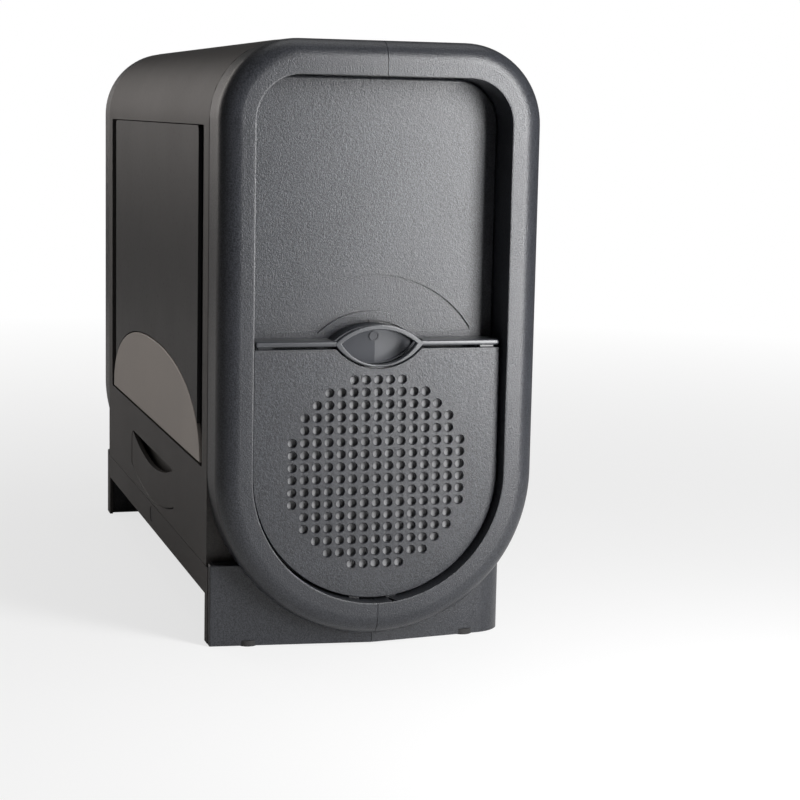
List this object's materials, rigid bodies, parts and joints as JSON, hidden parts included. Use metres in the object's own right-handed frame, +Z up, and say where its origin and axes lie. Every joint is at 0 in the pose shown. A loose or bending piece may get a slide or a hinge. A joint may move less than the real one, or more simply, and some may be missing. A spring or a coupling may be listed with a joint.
{
  "type": "stationary canister vacuum filter unit",
  "caption": "Floor-standing canister vacuum with a floor-level mouth, pull-out dust bin and a micro filter behind a perforated tip-out door.",
  "frame": {"origin": "on the floor under the middle of the machine", "axes": "+Z up, the bin faces -Y, the filter door faces +X"},
  "size_m": [0.44, 0.185, 0.3404],
  "materials": {
    "grey_plastic": "fine-grained moulded dark grey plastic",
    "black_plastic": "satin black plastic",
    "smoked_plastic": "smoked, satin to gloss",
    "silver_plastic": "warm silver, satin",
    "filter_felt": "pale filter felt",
    "foam": "dark open foam",
    "steel": "bare steel",
    "rubber": "black rubber",
    "board": "green board",
    "copper": "copper winding and core"
  },
  "bodies": {
    "housing": {"front_housing": "grey_plastic", "rear_housing": "grey_plastic", "right_frame_front": "grey_plastic", "right_frame_rear": "grey_plastic", "left_frame_front": "grey_plastic", "left_frame_rear": "grey_plastic", "base_skirt": "grey_plastic", "chassis": "black_plastic", "suction_duct": "black_plastic", "right_end_panel": "grey_plastic", "left_end_panel": "grey_plastic", "finger_cup": "grey_plastic", "filter_frame": "black_plastic", "filter_pad": "filter_felt", "filter_gasket": "foam", "door_hinge_pin": "steel", "motor_shroud": "black_plastic", "motor_bracket": "black_plastic", "front_bearing": "steel", "rear_bearing": "steel", "motor_can": "steel", "stator": "copper", "motor_mount": "rubber", "motor_spacer": "black_plastic", "motor_saddle": "black_plastic", "circuit_board": "board", "board_post_1": "black_plastic", "board_post_2": "black_plastic", "capacitor": "black_plastic", "outlet_seal": "foam", "bin_latch_spring": "steel", "handle_well": "black_plastic", "switch_bezel": "black_plastic", "cord_gland": "rubber", "sensor_lens": "smoked_plastic", "rubber_foot_1": "rubber", "rubber_foot_2": "rubber", "rubber_foot_3": "rubber", "rubber_foot_4": "rubber", "housing_screw_1": "steel", "housing_screw_2": "steel", "housing_screw_3": "steel", "housing_screw_4": "steel"},
    "fan": {"impeller": "black_plastic", "motor_shaft": "steel", "rotor": "copper"},
    "filter_door": {"filter_door": "grey_plastic", "latch_spring_1": "steel", "latch_spring_2": "steel"},
    "door_latch": {"door_latch": "grey_plastic"},
    "dust_bin": {"dust_bin": "smoked_plastic", "bin_window": "smoked_plastic", "silver_band": "silver_plastic", "pre_filter_frame": "grey_plastic", "pre_filter_foam": "foam"},
    "inlet_flap": {"inlet_flap": "rubber"},
    "bin_latch": {"bin_latch": "black_plastic"},
    "carry_handle": {"carry_handle": "black_plastic"},
    "power_switch": {"power_switch": "black_plastic"}
  },
  "joints": [
    {"name": "fan_spin", "type": "hinge", "parent": "housing", "child": "fan", "pos_m": [0.066, 0.026, 0.112], "axis": [1, 0, 0], "continuous": true},
    {"name": "door_tip", "type": "hinge", "parent": "housing", "child": "filter_door", "pos_m": [0.2065, 0, 0.031], "axis": [0, 1, 0], "range_deg": [0, 15]},
    {"name": "latch_lift", "type": "slide", "parent": "filter_door", "child": "door_latch", "axis": [0, 0, 1], "range_m": [0, 0.003], "stiffness_N_per_m": 300, "springref_m": -0.002, "deforming": ["latch_spring_1", "latch_spring_2"]},
    {"name": "bin_slide", "type": "slide", "parent": "housing", "child": "dust_bin", "axis": [0, -1, 0], "range_m": [0, 0.12]},
    {"name": "flap_lift", "type": "hinge", "parent": "dust_bin", "child": "inlet_flap", "pos_m": [0, -0.061, 0.1025], "axis": [-1, 0, 0], "range_deg": [0, 70]},
    {"name": "catch_tip", "type": "hinge", "parent": "housing", "child": "bin_latch", "pos_m": [0, -0.0908, 0.058], "axis": [1, 0, 0], "range_deg": [0, 20], "stiffness_Nm_per_rad": 0.3, "springref_deg": -2.86},
    {"name": "handle_fold", "type": "hinge", "parent": "housing", "child": "carry_handle", "pos_m": [0, 0.017, 0.3315], "axis": [-1, 0, 0], "range_deg": [0, 90]},
    {"name": "switch_rock", "type": "hinge", "parent": "housing", "child": "power_switch", "pos_m": [0.12, 0.045, 0.335], "axis": [0, 1, 0], "range_deg": [-16, 0]}
  ]
}
